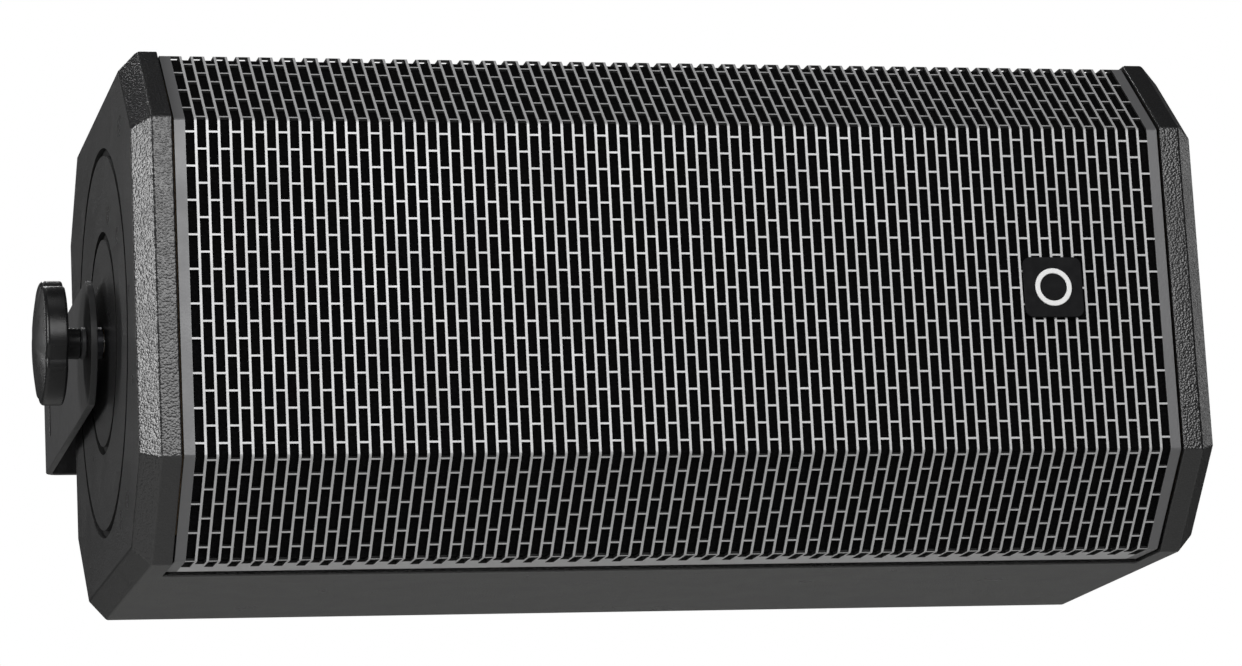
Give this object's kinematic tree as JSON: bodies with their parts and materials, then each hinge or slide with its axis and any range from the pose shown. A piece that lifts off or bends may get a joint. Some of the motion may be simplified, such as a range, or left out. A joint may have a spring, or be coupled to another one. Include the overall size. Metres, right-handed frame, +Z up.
{
  "type": "compact pa loudspeaker",
  "caption": "Compact eight-sided PA loudspeaker with a folded slotted grille, tilting in a U-bracket on hand-knob clamps.",
  "frame": {"origin": "middle of the bracket crossbar's wall face", "axes": "+X along the cabinet's length, +Y out of the bracket's wall face towards the wall, +Z up; the front grille looks along -Y"},
  "size_m": [0.508, 0.275, 0.2124],
  "materials": {
    "cabinet_paint": "structured matte black paint over birch plywood",
    "bare_wood": "bare birch plywood",
    "bracket_paint": "black powder coat",
    "grille_paint": "satin black powder coat",
    "foam": "open-cell black foam",
    "knob_plastic": "black moulded nylon",
    "nylon": "black nylon",
    "bright_steel": "zinc-plated steel",
    "black_steel": "black oxide",
    "brass": "turned brass",
    "cast_basket": "black cast aluminium",
    "ferrite": "ferrite and blackened steel",
    "paper_cone": "coated black paper",
    "surround_cloth": "coated cloth",
    "spider_cloth": "impregnated cloth",
    "horn_plastic": "black moulded plastic",
    "diaphragm_metal": "thin formed aluminium",
    "circuit_board": "green laminate",
    "copper": "enamelled copper wire",
    "capacitor_film": "wrapped film",
    "socket_plastic": "black moulded plastic",
    "wadding": "polyester wadding",
    "cable_jacket": "soft jacket",
    "badge_black": "gloss black",
    "badge_white": "white"
  },
  "bodies": {
    "bracket": {"u_bracket": "bracket_paint"},
    "cabinet": {"badge_plate": "badge_black", "badge_ring": "badge_white", "bottom_panel": "cabinet_paint", "brace_left": "bare_wood", "brace_right": "bare_wood", "capacitor_1": "capacitor_film", "capacitor_2": "capacitor_film", "capacitor_3": "capacitor_film", "coil_large": "copper", "coil_small": "copper", "compression_driver": "cast_basket", "crossover_board": "circuit_board", "damping_pad_left": "wadding", "damping_pad_right": "wadding", "driver_lead": "cable_jacket", "end_panel_left": "cabinet_paint", "end_panel_right": "cabinet_paint", "front_baffle": "bare_wood", "grille": "grille_paint", "grille_foam": "foam", "horn": "horn_plastic", "input_lead": "cable_jacket", "input_plate": "bracket_paint", "pivot_spacer_left": "black_steel", "pivot_spacer_right": "black_steel", "plate_screw_1": "black_steel", "plate_screw_2": "black_steel", "plate_screw_3": "black_steel", "plate_screw_4": "black_steel", "rear_bevel_lower": "cabinet_paint", "rear_bevel_upper": "cabinet_paint", "rear_panel": "cabinet_paint", "socket_in": "socket_plastic", "socket_through": "socket_plastic", "threaded_insert_left": "brass", "threaded_insert_right": "brass", "top_panel": "cabinet_paint", "woofer_basket_left": "cast_basket", "woofer_basket_right": "cast_basket", "woofer_lead_left": "cable_jacket", "woofer_lead_right": "cable_jacket", "woofer_magnet_left": "ferrite", "woofer_magnet_right": "ferrite", "woofer_spider_left": "spider_cloth", "woofer_spider_right": "spider_cloth", "woofer_surround_left": "surround_cloth", "woofer_surround_right": "surround_cloth"},
    "clamp_carrier_left": {"clamp_washer_left": "nylon"},
    "clamp_left": {"knob_left": "knob_plastic", "clamp_stud_left": "bright_steel"},
    "woofer_cone_body_left": {"woofer_cone_left": "paper_cone", "woofer_dust_cap_left": "paper_cone"},
    "clamp_carrier_right": {"clamp_washer_right": "nylon"},
    "clamp_right": {"knob_right": "knob_plastic", "clamp_stud_right": "bright_steel"},
    "woofer_cone_body_right": {"woofer_cone_right": "paper_cone", "woofer_dust_cap_right": "paper_cone"},
    "diaphragm_body": {"driver_diaphragm": "diaphragm_metal"}
  },
  "joints": [
    {"name": "cabinet_tilt", "type": "hinge", "parent": "bracket", "child": "cabinet", "pos_m": [0, -0.1638, 0], "axis": [1, 0, 0], "range_deg": [-90, 90]},
    {"name": "knob_left_travel", "type": "slide", "parent": "cabinet", "child": "clamp_carrier_left", "axis": [-1, 0, 0], "range_m": [0, 0.0025]},
    {"name": "knob_left_turn", "type": "hinge", "parent": "clamp_carrier_left", "child": "clamp_left", "pos_m": [-0.232, -0.1638, 0], "axis": [-1, 0, 0], "range_deg": [0, 720]},
    {"name": "woofer_left_stroke", "type": "slide", "parent": "cabinet", "child": "woofer_cone_body_left", "axis": [0, -1, 0], "range_m": [-0.0035, 0.0035], "stiffness_N_per_m": 1200},
    {"name": "knob_right_travel", "type": "slide", "parent": "cabinet", "child": "clamp_carrier_right", "axis": [1, 0, 0], "range_m": [0, 0.0025]},
    {"name": "knob_right_turn", "type": "hinge", "parent": "clamp_carrier_right", "child": "clamp_right", "pos_m": [0.232, -0.1638, 0], "axis": [1, 0, 0], "range_deg": [0, 720]},
    {"name": "woofer_right_stroke", "type": "slide", "parent": "cabinet", "child": "woofer_cone_body_right", "axis": [0, -1, 0], "range_m": [-0.0035, 0.0035], "stiffness_N_per_m": 1200},
    {"name": "diaphragm_stroke", "type": "slide", "parent": "cabinet", "child": "diaphragm_body", "axis": [0, -1, 0], "range_m": [-0.0003, 0.0003], "stiffness_N_per_m": 8000}
  ],
  "couplings": [
    {"joint": "knob_left_turn", "follows": "knob_left_travel", "rad_per_m": 5026.5},
    {"joint": "knob_right_turn", "follows": "knob_right_travel", "rad_per_m": 5026.5}
  ]
}
